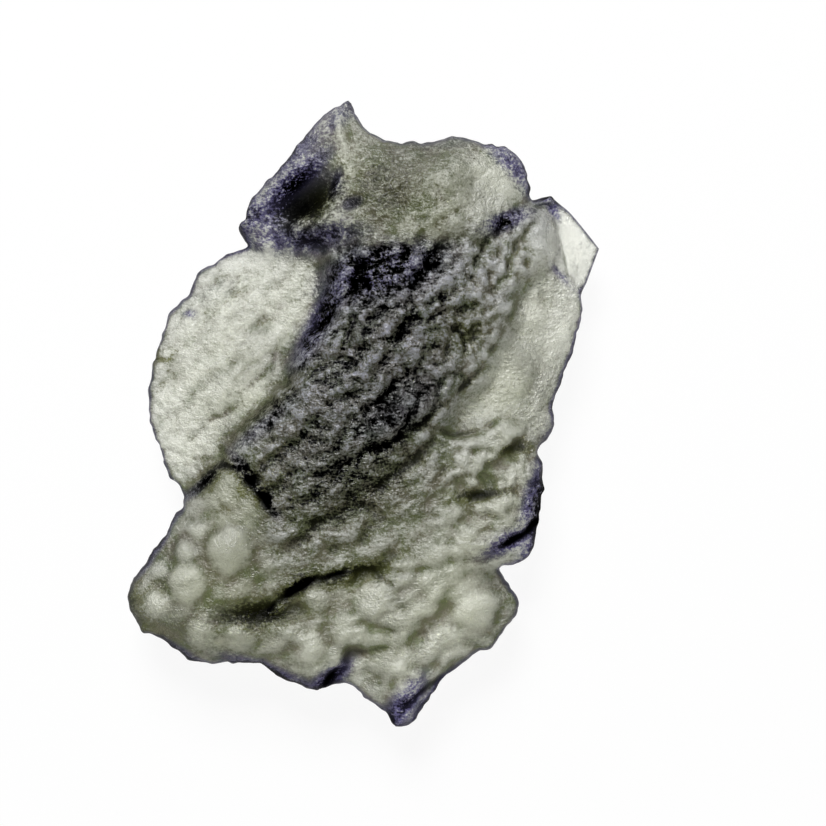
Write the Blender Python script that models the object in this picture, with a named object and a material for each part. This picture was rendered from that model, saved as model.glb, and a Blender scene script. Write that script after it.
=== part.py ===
"""A raw moldavite: one sculpted flake of natural green glass, lying on its flatter side.

Sizes are in millimetres here and become metres in the mesh. +X runs across the stone, +Y from its lower
lobes to its crown, and +Z up from the surface that it rests on. The origin lies on that surface, under
the middle of the stone's box.
"""

import bmesh
import bpy
import numpy as np

MM = 0.001
CELLS = (36, 68)  # cells of the surface grid across and along the stone, for each of its two sides

# Driving sizes
LENGTH = 30.0
PLATE_TOP = 3.9
PLATE_UNDER = 0.55
BODY_RISE = 2.5
THINNEST = 0.6
RIM_SHARE = 0.45  # how far up from the underside to the top the rim's outermost line lies
RIM_ROUND = 0.5  # how far in from the rim its rounding reaches
RIM_THIN = 0.36  # the share of the full thickness that is left at the rim
RIM_REACH = 3.0  # how far in from the rim the stone gets thicker
GLASS_COLOUR = (0.46, 0.52, 0.33, 1.0)
GLASS_ROUGHNESS = 0.25
GLASS_IOR = 1.49

# Outlines and ways are read off the photograph by eye, in its pixels
PHOTO_MIDDLE = (364.5, 414.5)  # of the stone's box
PHOTO_LENGTH = 626.0  # of the stone, from its crown's tip to its foot's tip

# The outline seen from above, in four sides that meet at the stone's corners: its crown's tip, the toe
# of its lower left lobe, its foot's tip and the chip at its right
LEFT_RIM = [
    (348, 101), (329, 112), (313, 127), (302, 142), (285, 163), (273, 176), (262, 190), (252, 202),
    (247, 216), (240, 227), (243, 238), (247, 246), (241, 251), (230, 253), (216, 261), (198, 272),
    (193, 281), (185, 297), (169, 311), (163, 326), (158, 342), (151, 366), (148, 390), (148, 410),
    (153, 436), (160, 452), (167, 472), (178, 486), (184, 497), (182, 508), (175, 514), (169, 527),
    (160, 541), (150, 557), (138, 573), (130, 586), (129, 604), (135, 620), (145, 632),
]
FOOT_RIM = [
    (145, 632), (160, 638), (177, 651), (193, 661), (213, 664), (240, 663), (260, 666), (277, 676),
    (297, 684), (317, 690), (331, 685), (343, 684), (356, 689), (370, 702), (385, 713), (397, 728),
]
RIGHT_RIM = [
    (397, 728), (410, 726), (419, 713), (430, 700), (443, 682), (457, 667), (477, 654), (493, 647),
    (505, 632), (519, 611), (518, 599), (512, 590), (504, 579), (500, 569), (513, 565), (524, 560),
    (532, 551), (536, 536), (540, 520), (542, 503), (543, 487), (544, 470), (540, 452), (547, 440),
    (555, 423), (555, 402), (562, 380), (570, 357), (578, 336), (582, 316), (582, 293), (587, 283),
    (593, 267), (600, 248),
]
CROWN_RIM = [
    (600, 248), (594, 240), (583, 226), (570, 211), (558, 202), (549, 195), (540, 198), (531, 199),
    (530, 189), (526, 176), (521, 162), (507, 150), (487, 145), (460, 139), (443, 140), (427, 145),
    (407, 144), (390, 143), (377, 138), (367, 129), (359, 122), (353, 107), (348, 101),
]
SIDE_FADE = 2.0  # how fast a side's bends die out inwards

# Each lobe: its corners, how far its top stands above the plate, how far its underside lies above the
# plate's, and the width of its ledge. Corners beyond the rim only carry the lobe over it.
LOBES = {
    "crown": (
        [(225, 236), (243, 243), (275, 241), (310, 236), (345, 240), (380, 247), (433, 246),
         (480, 228), (526, 208), (534, 196), (560, 150), (520, 110), (340, 70), (225, 180)],
        0.9, 0.45, 0.4,
    ),
    "wing": (
        [(185, 500), (204, 488), (225, 465), (239, 440), (254, 421), (277, 400), (296, 379),
         (308, 360), (319, 333), (327, 300), (331, 252), (300, 243), (246, 245), (200, 239),
         (120, 321), (120, 440)],
        -1.1, 0.75, 0.4,
    ),
    "flank": (
        [(611, 312), (565, 287), (540, 266), (523, 285), (513, 312), (496, 348), (477, 383),
         (454, 404), (440, 429), (465, 431), (500, 423), (536, 440), (561, 446), (619, 379)],
        -0.7, 0.5, 0.35,
    ),
    "chip": (
        [(552, 208), (554, 225), (546, 245), (550, 264), (569, 283), (600, 300), (640, 250),
         (579, 189)],
        -1.6, 0.65, 0.2,
    ),
    "lower left": (
        [(185, 500), (204, 488), (227, 465), (241, 469), (260, 485), (271, 506), (273, 527),
         (277, 552), (285, 579), (275, 600), (271, 615), (289, 650), (319, 694), (250, 719),
         (110, 661), (99, 561)],
        0.0, 0.3, 0.3,
    ),
    "lower middle": (
        [(285, 603), (300, 590), (330, 574), (352, 566), (376, 573), (392, 590), (398, 620),
         (388, 645), (350, 652), (330, 640), (300, 625)],
        -0.1, 0.3, 0.25,
    ),
    "lower right": (
        [(430, 612), (440, 590), (457, 574), (480, 568), (500, 572), (540, 600), (520, 660),
         (460, 700), (400, 740), (340, 700), (345, 665), (352, 650), (388, 645), (410, 635)],
        -0.6, 0.4, 0.3,
    ),
}

# Swells: middle, reach along and across, the turn of the long way from +X in degrees, and rise
BODY = ((0.2, 2.6), (8.2, 3.9), 55.0, BODY_RISE)
SWELLS = {
    "lower left slope": ((-6.2, -4.3), (1.2, 1.0), 0.0, 0.3),
    "lower left valley": ((-5.0, -9.4), (2.0, 0.6), 5.0, -0.5),
    "tip swell": ((1.7, -12.7), (1.4, 0.9), -50.0, 0.3),
    "crown right scoop": ((5.9, 10.3), (1.5, 1.1), 20.0, -0.7),
    "crown middle dome": ((3.1, 11.1), (1.3, 0.9), 0.0, 0.3),
    "crown left swell": ((0.5, 12.2), (1.8, 0.9), 30.0, 0.4),
    "crown hollow": ((-2.9, 10.2), (1.9, 1.1), 38.0, -1.5),
    "wing rim bowl": ((-9.6, 1.7), (0.9, 0.6), 10.0, -0.3),
}

# Round bulges, where bubbles of the melt swelled its skin: middle, radius and rise
DOMES = {
    "lower left": ((-6.3, -6.35), 1.25, 0.75),
    "lower left, second": ((-8.35, -7.95), 1.0, 0.6),
    "lower left, toe": ((-10.2, -8.95), 1.0, 0.4),
    "lower left, shoulder": ((-7.95, -5.4), 0.55, 0.4),
    "lower left, step": ((-8.5, -6.5), 0.65, 0.4),
    "lower left, rim": ((-9.7, -7.4), 0.55, 0.3),
    "lower left, fold": ((-5.9, -10.5), 0.9, 0.35),
    "lower left, foot": ((-7.8, -10.4), 0.8, 0.3),
    "middle": ((0.5, -8.8), 1.2, 0.4),
    "middle, left": ((-2.3, -8.8), 0.75, 0.4),
    "middle, fold": ((-2.5, -10.9), 0.8, 0.35),
    "middle, foot": ((-0.6, -10.2), 0.9, 0.3),
    "right": ((5.3, -8.9), 1.3, 0.4),
    "right, second": ((3.9, -10.9), 1.0, 0.3),
    "tip": ((1.9, -12.0), 1.0, 0.3),
}

# Creases: the way each runs, its depth and its half width
CREASES = {
    "wing long crease": (
        [(300, 323), (285, 335), (277, 348), (275, 360), (266, 373), (256, 385), (241, 398),
         (225, 414), (206, 427), (191, 440)],
        0.4, 0.2,
    ),
    "wing rim crease": ([(150, 358), (164, 360), (179, 358)], 0.4, 0.25),
    "wing upper crease": ([(198, 364), (206, 356), (218, 352)], 0.3, 0.2),
    "wing lower crease": ([(162, 417), (177, 410), (187, 408), (200, 404)], 0.25, 0.16),
    "wing spur": ([(289, 379), (275, 383), (262, 387)], 0.3, 0.16),
    "wing faint crease": ([(283, 296), (260, 323), (241, 348), (227, 362)], 0.2, 0.16),
    "wing foot crease": ([(179, 454), (198, 458), (218, 456), (233, 446)], 0.25, 0.16),
    "lower left crescent": (
        [(187, 498), (204, 485), (227, 465), (241, 469), (260, 485), (271, 506), (273, 531)],
        0.6, 0.6,
    ),
    "middle arch": (
        [(273, 606), (289, 592), (310, 579), (329, 571), (352, 565), (375, 569), (394, 584)],
        0.5, 0.35,
    ),
    "middle fold": ([(319, 690), (337, 667), (352, 652), (387, 644), (421, 640)], 0.6, 0.35),
    "tip fold": ([(396, 721), (404, 707), (415, 692), (435, 680), (452, 667)], 0.7, 0.35),
    "right fold": ([(488, 556), (502, 542), (521, 533), (538, 521)], 0.8, 0.35),
    "flank line": (
        [(523, 291), (511, 312), (500, 335), (490, 352), (473, 377), (454, 396), (431, 414),
         (412, 429), (379, 446), (350, 460)],
        0.6, 0.35,
    ),
    "cross crease": ([(429, 427), (454, 431), (477, 429), (496, 425)], 0.5, 0.25),
    "chip crack": ([(548, 206), (556, 222), (561, 250), (567, 275), (579, 289)], 0.5, 0.25),
    "right scale": ([(467, 508), (473, 496), (490, 492), (513, 490)], 0.5, 0.3),
    "right lower scale": ([(477, 527), (490, 525), (502, 527)], 0.4, 0.22),
    "right upper scale": ([(496, 452), (508, 448), (519, 446), (531, 450)], 0.4, 0.22),
    "crown crack": ([(419, 227), (435, 225), (458, 218)], 0.4, 0.2),
}

# Hollows of the underside: middle, reach, turn and depth
UNDER_HOLLOWS = {
    "under the crown's scoop": ((6.0, 11.2), (1.7, 1.0), 20.0, 0.7),
    "under the crown's hollow": ((-3.0, 10.4), (1.6, 0.9), 38.0, 0.5),
}

# Lumps of the underside that reach the surface below and are worn flat where they touch it
FEET = [(2.6, 9.4), (6.4, 1.6), (4.4, -9.0), (-6.8, -8.6), (-4.9, 0.6), (0.2, -1.0)]
FOOT_REACH = 1.9
FOOT_DROP = 1.5

NARROWEST_CREASE = 0.6  # the smallest half width that the surface grid can carry
NARROWEST_LEDGE = 0.6
SCALE_LENGTH = 2.3
SCALE_WIDTH = 1.4
SCALE_HEIGHT = 0.85
SCALE_BLEND = 7.0  # the higher, the sharper the steps between scales
FLUTE_LENGTH = 3.2
FLUTE_WIDTH = 1.6
UNDER_FLUTE_DEPTH = 0.5
FLOW_LEAN = (39.0, 11.0)  # the flow lines' mean angle from +X in degrees, and its change either way
LATTICE = 64  # cells after which the random patterns repeat, far more than the stone spans


def placed(points):
    """Places in the photograph, in its pixels, as places on the stone in millimetres."""
    pixel = LENGTH / PHOTO_LENGTH
    return [((x - PHOTO_MIDDLE[0]) * pixel, (PHOTO_MIDDLE[1] - y) * pixel) for x, y in points]


def smooth_path(points, steps=4):
    """The curve through the points: on each span, the cubic with Catmull-Rom tangents."""
    p = np.vstack([2 * points[0] - points[1], points, 2 * points[-1] - points[-2]])
    before, start, end, after = (p[i:len(p) - 3 + i, None] for i in range(4))
    t = (np.arange(steps) / steps)[None, :, None]
    curve = start + t * (end - before) / 2
    curve = curve + t**2 * (2 * before - 5 * start + 4 * end - after) / 2
    curve = curve + t**3 * (3 * start - before - 3 * end + after) / 2
    return np.vstack([curve.reshape(-1, 2), points[-1:]])


def rim_sides():
    """The four sides of the outline, smooth, centred on their box and scaled to the driving length."""
    rims = (LEFT_RIM, FOOT_RIM, RIGHT_RIM, CROWN_RIM)
    sides = [smooth_path(np.array(placed(points))) for points in rims]
    rim = np.vstack(sides)
    low, high = rim.min(0), rim.max(0)
    return [(side - (low + high) / 2) * LENGTH / (high - low)[1] for side in sides]


def at_share(path, share):
    """The place a given share of the way along a path."""
    gone = np.concatenate([[0.0], np.cumsum(np.hypot(*np.diff(path, axis=0).T))])
    return np.stack([np.interp(share * gone[-1], gone, path[:, axis]) for axis in (0, 1)], axis=-1)


def between(start, end, share):
    return start + (end - start) * share


def plan(u, v, sides):
    """The stone seen from above, as a patch that four sides span: u from its left to its right and v from
    its crown to its foot, each from 0 to 1. It is the flat patch between the corners plus each side's
    bends, which fade inwards."""
    left, foot, right, crown = sides
    uu, vv = u[..., None], v[..., None]
    flat_left, flat_right = between(left[0], left[-1], vv), between(right[-1], right[0], vv)
    flat_crown, flat_foot = between(left[0], right[-1], uu), between(left[-1], right[0], uu)
    place = between(flat_left, flat_right, uu)
    place = place + (at_share(left, v) - flat_left) * (1 - uu) ** SIDE_FADE
    place = place + (at_share(right, 1 - v) - flat_right) * uu**SIDE_FADE
    place = place + (at_share(crown, 1 - u) - flat_crown) * (1 - vv) ** SIDE_FADE
    return place + (at_share(foot, u) - flat_foot) * vv**SIDE_FADE


def closed_up(share):
    """Evenly spaced shares moved so that they lie closer together near 0 and 1."""
    s = 2 * share - 1
    return 0.5 + 0.5 * (1.06 * s - 0.06 * s**11)


def path_distance(x, y, path):
    """The distance of each point to a path, and how far along it the nearest place is, from 0 to 1."""
    path = np.array(path)
    ways = np.diff(path, axis=0)
    steps = np.maximum(np.hypot(*ways.T), 1e-9)
    gone = np.concatenate([[0.0], np.cumsum(steps)])
    nearest, along = np.full(x.shape, np.inf), np.zeros(x.shape)
    for start, way, step, before in zip(path[:-1], ways, steps, gone):
        t = np.clip(((x - start[0]) * way[0] + (y - start[1]) * way[1]) / step**2, 0, 1)
        distance = np.hypot(x - start[0] - t * way[0], y - start[1] - t * way[1])
        along = np.where(distance < nearest, (before + t * step) / gone[-1], along)
        nearest = np.minimum(nearest, distance)
    return nearest, along


def depth_inside(x, y, corners):
    """The distance to a closed path, positive inside it and negative outside."""
    crossings = np.zeros(x.shape, int)
    for (x0, y0), (x1, y1) in zip(corners, corners[1:] + corners[:1]):
        if y0 != y1:
            crossings += ((y0 > y) != (y1 > y)) & (x < x0 + (y - y0) * (x1 - x0) / (y1 - y0))
    distance, _ = path_distance(x, y, corners + corners[:1])
    return np.where(crossings % 2 == 1, distance, -distance)


def plateau(x, y, corners, ledge):
    """1 on a lobe and 0 off it, with a smooth step of the ledge's width between."""
    return 0.5 + 0.5 * np.tanh(depth_inside(x, y, corners) / ledge)


def swell(x, y, middle, reach, turn):
    """A smooth hump, 1 in the middle and fading over its reach along and across its own direction."""
    turn = np.radians(turn)
    dx, dy = x - middle[0], y - middle[1]
    along = dx * np.cos(turn) + dy * np.sin(turn)
    across = dy * np.cos(turn) - dx * np.sin(turn)
    return np.exp(-((along / reach[0]) ** 2 + (across / reach[1]) ** 2))


def domes(x, y):
    """The round bulges: a rounded hump over each circle, and the higher where two meet."""
    height = np.zeros(x.shape)
    for middle, radius, rise in DOMES.values():
        away = np.hypot(x - middle[0], y - middle[1]) / radius
        height = np.maximum(height, rise * np.clip(1 - away**2, 0, 1) ** 1.1)
    return height


def crease(x, y, path, half_width):
    """A V-shaped valley along a path, 1 on its line, that fades out towards both ends."""
    distance, along = path_distance(x, y, path)
    fading = np.sin(np.pi * np.clip(along, 0.06, 0.94)) ** 0.5
    return np.clip(1 - distance / half_width, 0, 1) ** 1.3 * fading


def noise(x, y, seed):
    """Smooth noise from -1 to 1: random heights at whole numbers, blended between them."""
    heights = np.random.default_rng(seed).uniform(-1, 1, (LATTICE, LATTICE))
    i, j = np.floor(x).astype(int), np.floor(y).astype(int)
    s, t = x - i, y - j
    s, t = s * s * (3 - 2 * s), t * t * (3 - 2 * t)
    corner = [[heights[(i + a) % LATTICE, (j + b) % LATTICE] for b in (0, 1)] for a in (0, 1)]
    low, high = (corner[a][0] * (1 - t) + corner[a][1] * t for a in (0, 1))
    return low * (1 - s) + high * s


def bowls(x, y, seed):
    """Rows of shallow bowls with sharp ridges between: the square of the distance to the nearest of a
    lattice's shifted points, 0 at a bowl's middle and about 0.5 on a ridge."""
    shifts = np.random.default_rng(seed).uniform(0.1, 0.9, (LATTICE, LATTICE, 2))
    i, j = np.floor(x).astype(int), np.floor(y).astype(int)
    nearest = np.full(x.shape, np.inf)
    for a in (-1, 0, 1):
        for b in (-1, 0, 1):
            shift = shifts[(i + a) % LATTICE, (j + b) % LATTICE]
            away = (x - i - a - shift[..., 0]) ** 2 + (y - j - b - shift[..., 1]) ** 2
            nearest = np.minimum(nearest, away)
    return np.minimum(nearest, 1.0)


def flow(x, y):
    """Coordinates along and across the flow lines, which lean over from the crown to the foot, with a
    slow waver so that no two flutes run quite alike."""
    turn = np.radians(FLOW_LEAN[0] + FLOW_LEAN[1] * np.tanh((y + 2) / 8))
    along = x * np.cos(turn) + y * np.sin(turn)
    across = y * np.cos(turn) - x * np.sin(turn)
    waver = 0.45 * noise(x / 2.2, y / 2.2, 11)
    return along + waver, across + 0.45 * noise(x / 2.2, y / 2.2, 12) + 0.15 * waver


def flutes(x, y, seed):
    """The underside's sculpture: long bowls that follow the flow, from about -0.35 to 0.35."""
    along, across = flow(x, y)
    return bowls(along / FLUTE_LENGTH, across / FLUTE_WIDTH, seed) - 0.3


def scales(x, y, seed):
    """The main sculpture: scales along the flow. Each cell of a lattice's shifted points is a small dome
    that dips towards its upper side, where the next cell stands over it as a step. The cells are blended
    by how near they are, so that the steps are no steeper than the surface grid can carry."""
    along, across = flow(*ragged(x, y, 0.25 * SCALE_WIDTH))
    p, q = along / SCALE_LENGTH, across / SCALE_WIDTH
    shifts = np.random.default_rng(seed).uniform(0.05, 0.95, (LATTICE, LATTICE, 2))
    i, j = np.floor(p).astype(int), np.floor(q).astype(int)
    height, weights = np.zeros(x.shape), np.zeros(x.shape)
    for a in (-1, 0, 1):
        for b in (-1, 0, 1):
            shift = shifts[(i + a) % LATTICE, (j + b) % LATTICE]
            dp, dq = p - i - a - shift[..., 0], q - j - b - shift[..., 1]
            away = dp**2 + dq**2
            weight = np.exp(-SCALE_BLEND * away)
            height = height + weight * (-0.5 * dq - 0.6 * away + 0.12)
            weights = weights + weight
    return height / weights


def ragged(x, y, amount):
    """The place moved a little by noise, which makes what is drawn there less even."""
    return x + amount * noise(x / 1.5, y / 1.5, 61), y + amount * noise(x / 1.5, y / 1.5, 63)


def lobe_shares(x, y):
    x, y = ragged(x, y, 0.28)
    return {
        name: plateau(x, y, placed(corners), max(ledge, NARROWEST_LEDGE))
        for name, (corners, _, _, ledge) in LOBES.items()
    }


def top_height(x, y, lobes):
    """The sculpted side: plate, body ridge, lobes, swells, domes and creases, and then the scales."""
    body = swell(x, y, *BODY[:3]) * BODY[3]
    low_lands = np.maximum(lobes["wing"], np.maximum(lobes["flank"], lobes["chip"]))
    height = PLATE_TOP + body * (1 - 0.8 * low_lands)
    for name, (_, rise, _, _) in LOBES.items():
        height = height + rise * lobes[name]
    for middle, reach, turn, rise in SWELLS.values():
        height = height + rise * swell(x, y, middle, reach, turn)
    height = height + domes(*ragged(x, y, 0.1))
    for path, depth, half_width in CREASES.values():
        widened = max(half_width, NARROWEST_CREASE)
        height = height - depth * half_width / widened * crease(x, y, placed(path), widened)
    calm = 1 - 0.75 * lobes["crown"] - 0.6 * lobes["wing"] - 0.75 * lobes["flank"] - 0.9 * lobes["chip"]
    calm = calm - 0.8 * lobes["lower left"] - 0.6 * lobes["lower right"] - 0.6 * lobes["lower middle"]
    return height + SCALE_HEIGHT * calm * scales(x, y, 21)


def under_height(x, y, lobes):
    """The flatter side: a gently wavy plate, raised under the thin lobes, with its worn feet at zero."""
    height = PLATE_UNDER + 0.25 * noise(x / 4.5, y / 4.5, 31)
    for name, (_, _, lift, _) in LOBES.items():
        height = height + lift * lobes[name]
    height = height + UNDER_FLUTE_DEPTH * flutes(x, y, 32)
    for middle, reach, turn, depth in UNDER_HOLLOWS.values():
        height = height + depth * swell(x, y, middle, reach, turn)
    for foot in FEET:
        height = height - FOOT_DROP * swell(x, y, foot, (FOOT_REACH, FOOT_REACH), 0.0)
    return np.maximum(height, 0.0)


def rim_profile(distance):
    """The share of the thickness at a distance from the rim: 0 at the rim, where the edge rounds over,
    then a blunt edge that thickens inwards up to the full stone."""
    rounded = np.sqrt(1 - (1 - np.clip(distance / RIM_ROUND, 0, 1)) ** 2.2)
    thick = RIM_THIN + (1 - RIM_THIN) * (1 - (1 - np.clip(distance / RIM_REACH, 0, 1)) ** 2)
    return rounded * thick


def stone_surface(u, v, on_top):
    """The stone's surface as a function of two parameters and the side: x, y and z in millimetres."""
    sides = rim_sides()
    place = plan(closed_up(u), closed_up(v), sides)
    x, y = place[..., 0], place[..., 1]
    lobes = lobe_shares(x, y)
    under = under_height(x, y, lobes)
    top = np.maximum(top_height(x, y, lobes), under + THINNEST)
    edge = between(under, top, RIM_SHARE)
    distance, _ = path_distance(x, y, np.vstack(sides))
    on_rim = (u <= 0) | (u >= 1) | (v <= 0) | (v >= 1)
    share = rim_profile(np.where(on_rim, 0.0, distance))
    return np.stack([x, y, between(edge, np.where(on_top, top, under), share)], axis=-1)


def glass():
    """Clear green glass with an etched skin."""
    material = bpy.data.materials.new("moldavite_glass")
    material.use_nodes = True
    shader = material.node_tree.nodes["Principled BSDF"]
    shader.inputs["Base Color"].default_value = GLASS_COLOUR
    shader.inputs["Roughness"].default_value = GLASS_ROUGHNESS
    shader.inputs["Metallic"].default_value = 0.0
    shader.inputs["IOR"].default_value = GLASS_IOR
    shader.inputs["Transmission Weight"].default_value = 1.0
    return material


def moldavite():
    """Two copies of a grid, one for each side, joined along their edge and then shaped as the stone."""
    bm = bmesh.new()
    bmesh.ops.create_grid(bm, x_segments=CELLS[0], y_segments=CELLS[1], size=1.0)
    under_side = bmesh.ops.duplicate(bm, geom=bm.faces[:])["geom"]
    bmesh.ops.reverse_faces(bm, faces=[part for part in under_side if isinstance(part, bmesh.types.BMFace)])
    mesh = bpy.data.meshes.new("moldavite")
    bm.to_mesh(mesh)
    bm.free()

    count = len(mesh.vertices)
    grid = np.empty(count * 3)
    mesh.vertices.foreach_get("co", grid)
    u, v = np.clip(grid.reshape(-1, 3)[:, :2].T / 2 + 0.5, 0, 1).round(6)
    surface = stone_surface(u, 1 - v, np.arange(count) < count // 2) * MM
    mesh.vertices.foreach_set("co", surface.ravel())

    bm = bmesh.new()
    bm.from_mesh(mesh)
    bmesh.ops.remove_doubles(bm, verts=[vert for vert in bm.verts if vert.is_boundary], dist=1e-6)
    bmesh.ops.recalc_face_normals(bm, faces=bm.faces)
    for corner in [vert for vert in bm.verts if len(vert.link_faces) == 2]:
        for face in list(corner.link_faces):
            beside = {vert for edge in corner.link_edges for vert in edge.verts}
            inner = next(vert for vert in face.verts if vert not in beside)
            bmesh.utils.face_split(face, corner, inner)
    bmesh.ops.triangulate(bm, faces=bm.faces, quad_method="SHORT_EDGE")
    bm.to_mesh(mesh)
    bm.free()
    mesh.shade_smooth()
    mesh.materials.append(glass())
    return bpy.data.objects.new("moldavite", mesh)


def main():
    for old in list(bpy.data.objects):
        bpy.data.objects.remove(old)
    collection = bpy.data.collections.new("moldavite")
    bpy.context.scene.collection.children.link(collection)
    collection.objects.link(moldavite())


main()
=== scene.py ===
"""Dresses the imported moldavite: the stone's sculpted glass, and a plain stage to see it on."""

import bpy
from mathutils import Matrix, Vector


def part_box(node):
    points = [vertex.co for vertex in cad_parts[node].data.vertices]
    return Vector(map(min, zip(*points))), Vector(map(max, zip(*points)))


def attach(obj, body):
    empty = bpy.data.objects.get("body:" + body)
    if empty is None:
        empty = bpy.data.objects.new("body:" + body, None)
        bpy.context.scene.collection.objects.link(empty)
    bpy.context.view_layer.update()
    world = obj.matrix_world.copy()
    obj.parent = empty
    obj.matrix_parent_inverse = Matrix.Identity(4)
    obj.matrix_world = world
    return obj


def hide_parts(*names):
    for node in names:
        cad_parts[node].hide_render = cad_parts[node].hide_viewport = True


bl_info = {
    "name": "Raw moldavite",
    "version": (1, 0, 0),
    "blender": (4, 5, 0),
    "location": "3D View > Sidebar > Moldavite",
    "description": "Sculpts and finishes a raw moldavite on its packed solid, and sets a stage for it",
    "category": "Object",
}

import bpy
import numpy as np

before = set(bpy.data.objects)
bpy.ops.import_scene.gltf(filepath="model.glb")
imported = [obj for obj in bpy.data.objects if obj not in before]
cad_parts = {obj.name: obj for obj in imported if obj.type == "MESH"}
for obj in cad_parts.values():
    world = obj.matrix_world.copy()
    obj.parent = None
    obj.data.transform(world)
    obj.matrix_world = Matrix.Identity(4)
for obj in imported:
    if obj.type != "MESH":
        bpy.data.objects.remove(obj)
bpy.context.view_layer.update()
LOW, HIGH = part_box("moldavite")

# The stone is drawn in units of a thirtieth of its length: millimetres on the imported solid
DRAWN_LENGTH = 30.0
UNIT = (HIGH.y - LOW.y) / DRAWN_LENGTH

# Outlines and ways are read off the photograph, in its pixels
PHOTO_MIDDLE = (364.5, 414.5)  # of the stone's box
PHOTO_LENGTH = 626.0  # of the stone, from its crown's tip to its foot's tip

# Seen from above, in four sides that meet at the stone's corners: its crown's tip, the toe of its lower
# left lobe, its foot's tip and the chip at its right
LEFT_RIM = [
    (348, 101), (329, 112), (313, 127), (302, 142), (285, 163), (273, 176), (262, 190), (252, 202),
    (247, 216), (240, 227), (243, 238), (247, 246), (241, 251), (230, 253), (216, 261), (198, 272),
    (193, 281), (185, 297), (169, 311), (163, 326), (158, 342), (151, 366), (148, 390), (148, 410),
    (153, 436), (160, 452), (167, 472), (178, 486), (184, 497), (182, 508), (175, 514), (169, 527),
    (160, 541), (150, 557), (138, 573), (130, 586), (129, 604), (135, 620), (145, 632),
]
FOOT_RIM = [
    (145, 632), (160, 638), (177, 651), (193, 661), (213, 664), (240, 663), (260, 666), (277, 676),
    (297, 684), (317, 690), (331, 685), (343, 684), (356, 689), (370, 702), (385, 713), (397, 728),
]
RIGHT_RIM = [
    (397, 728), (410, 726), (419, 713), (430, 700), (443, 682), (457, 667), (477, 654), (493, 647),
    (505, 632), (519, 611), (518, 599), (512, 590), (504, 579), (500, 569), (513, 565), (524, 560),
    (532, 551), (536, 536), (540, 520), (542, 503), (543, 487), (544, 470), (540, 452), (547, 440),
    (555, 423), (555, 402), (562, 380), (570, 357), (578, 336), (582, 316), (582, 293), (587, 283),
    (593, 267), (600, 248),
]
CROWN_RIM = [
    (600, 248), (594, 240), (583, 226), (570, 211), (558, 202), (549, 195), (540, 198), (531, 199),
    (530, 189), (526, 176), (521, 162), (507, 150), (487, 145), (460, 139), (443, 140), (427, 145),
    (407, 144), (390, 143), (377, 138), (367, 129), (359, 122), (353, 107), (348, 101),
]
SIDE_FADE = 2.0  # how fast a side's bends die out inwards

# The camera looks straight down
VIEW_OFFSET = (2.324, 0.072)  # from the stone's middle to the middle of the view
VIEW_HEIGHT = 2.2  # how high above the stone's resting plane the view has its set width
FLOOR_GAP = 0.1  # how far the floor lies below the stone
FLOOR_GREY = (0.04, 0.04, 0.04, 1.0)
WHITE = (1.0, 1.0, 1.0, 1.0)
BLACK = (0.0, 0.0, 0.0, 1.0)

# The plate that everything else is added to: the heights of its two sides, and the least thickness
PLATE_TOP = 3.9
PLATE_UNDER = 0.55
THINNEST = 0.6

RIM_SHARE = 0.45  # how far up from the underside to the top the rim's outermost line lies
RIM_ROUND = 0.3  # how far in from the rim its rounding reaches
RIM_THIN = 0.36  # the share of the full thickness that is left at the rim
RIM_REACH = 3.0  # how far in from the rim the stone gets thicker
RIM_ROUGH = 0.06  # how strongly each of two noises moves the rim off its smooth line
ROUGH_REACH = 0.6  # how far in from the rim they do so
RIM_LINE = 0.16  # how far in from the rim its dark line, painted shade for the refracting edge, reaches
CROWDING = 0.06  # how much closer together the grid's lines lie near the rim

# Each lobe: its corners, how far its top stands above the plate, how far its underside lies above the
# plate's, and the width of its ledge. Corners beyond the rim only carry the lobe over it.
LOBES = {
    "crown": (
        [(225, 236), (243, 243), (275, 241), (310, 236), (345, 240), (380, 247), (433, 246),
         (480, 228), (526, 208), (534, 196), (560, 150), (520, 110), (340, 70), (225, 180)],
        0.9, 0.45, 0.7,
    ),
    "wing": (
        [(185, 500), (204, 488), (225, 465), (239, 440), (254, 421), (277, 400), (296, 379),
         (308, 360), (319, 333), (327, 300), (331, 252), (300, 243), (246, 245), (200, 239),
         (120, 321), (120, 440)],
        -1.1, 0.75, 0.4,
    ),
    "flank": (
        [(611, 312), (565, 287), (540, 266), (523, 285), (513, 312), (496, 348), (477, 383),
         (454, 404), (440, 429), (465, 431), (500, 423), (536, 440), (561, 446), (619, 379)],
        -0.7, 0.5, 0.35,
    ),
    "chip": (
        [(552, 208), (554, 225), (546, 245), (550, 264), (569, 283), (600, 300), (640, 250),
         (579, 189)],
        -1.6, 0.65, 0.45,
    ),
    "lower left": (
        [(185, 500), (204, 488), (227, 465), (241, 469), (260, 485), (271, 506), (273, 527),
         (277, 552), (285, 579), (275, 600), (271, 615), (289, 650), (319, 694), (250, 719),
         (110, 661), (99, 561)],
        0.0, 0.3, 0.3,
    ),
    "lower middle": (
        [(285, 603), (300, 590), (330, 574), (352, 566), (376, 573), (392, 590), (398, 620),
         (388, 645), (350, 652), (330, 640), (300, 625)],
        -0.1, 0.3, 0.25,
    ),
    "lower right": (
        [(430, 612), (440, 590), (457, 574), (480, 568), (500, 572), (540, 600), (520, 660),
         (460, 700), (400, 740), (340, 700), (345, 665), (352, 650), (388, 645), (410, 635)],
        -0.6, 0.4, 0.3,
    ),
}

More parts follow.
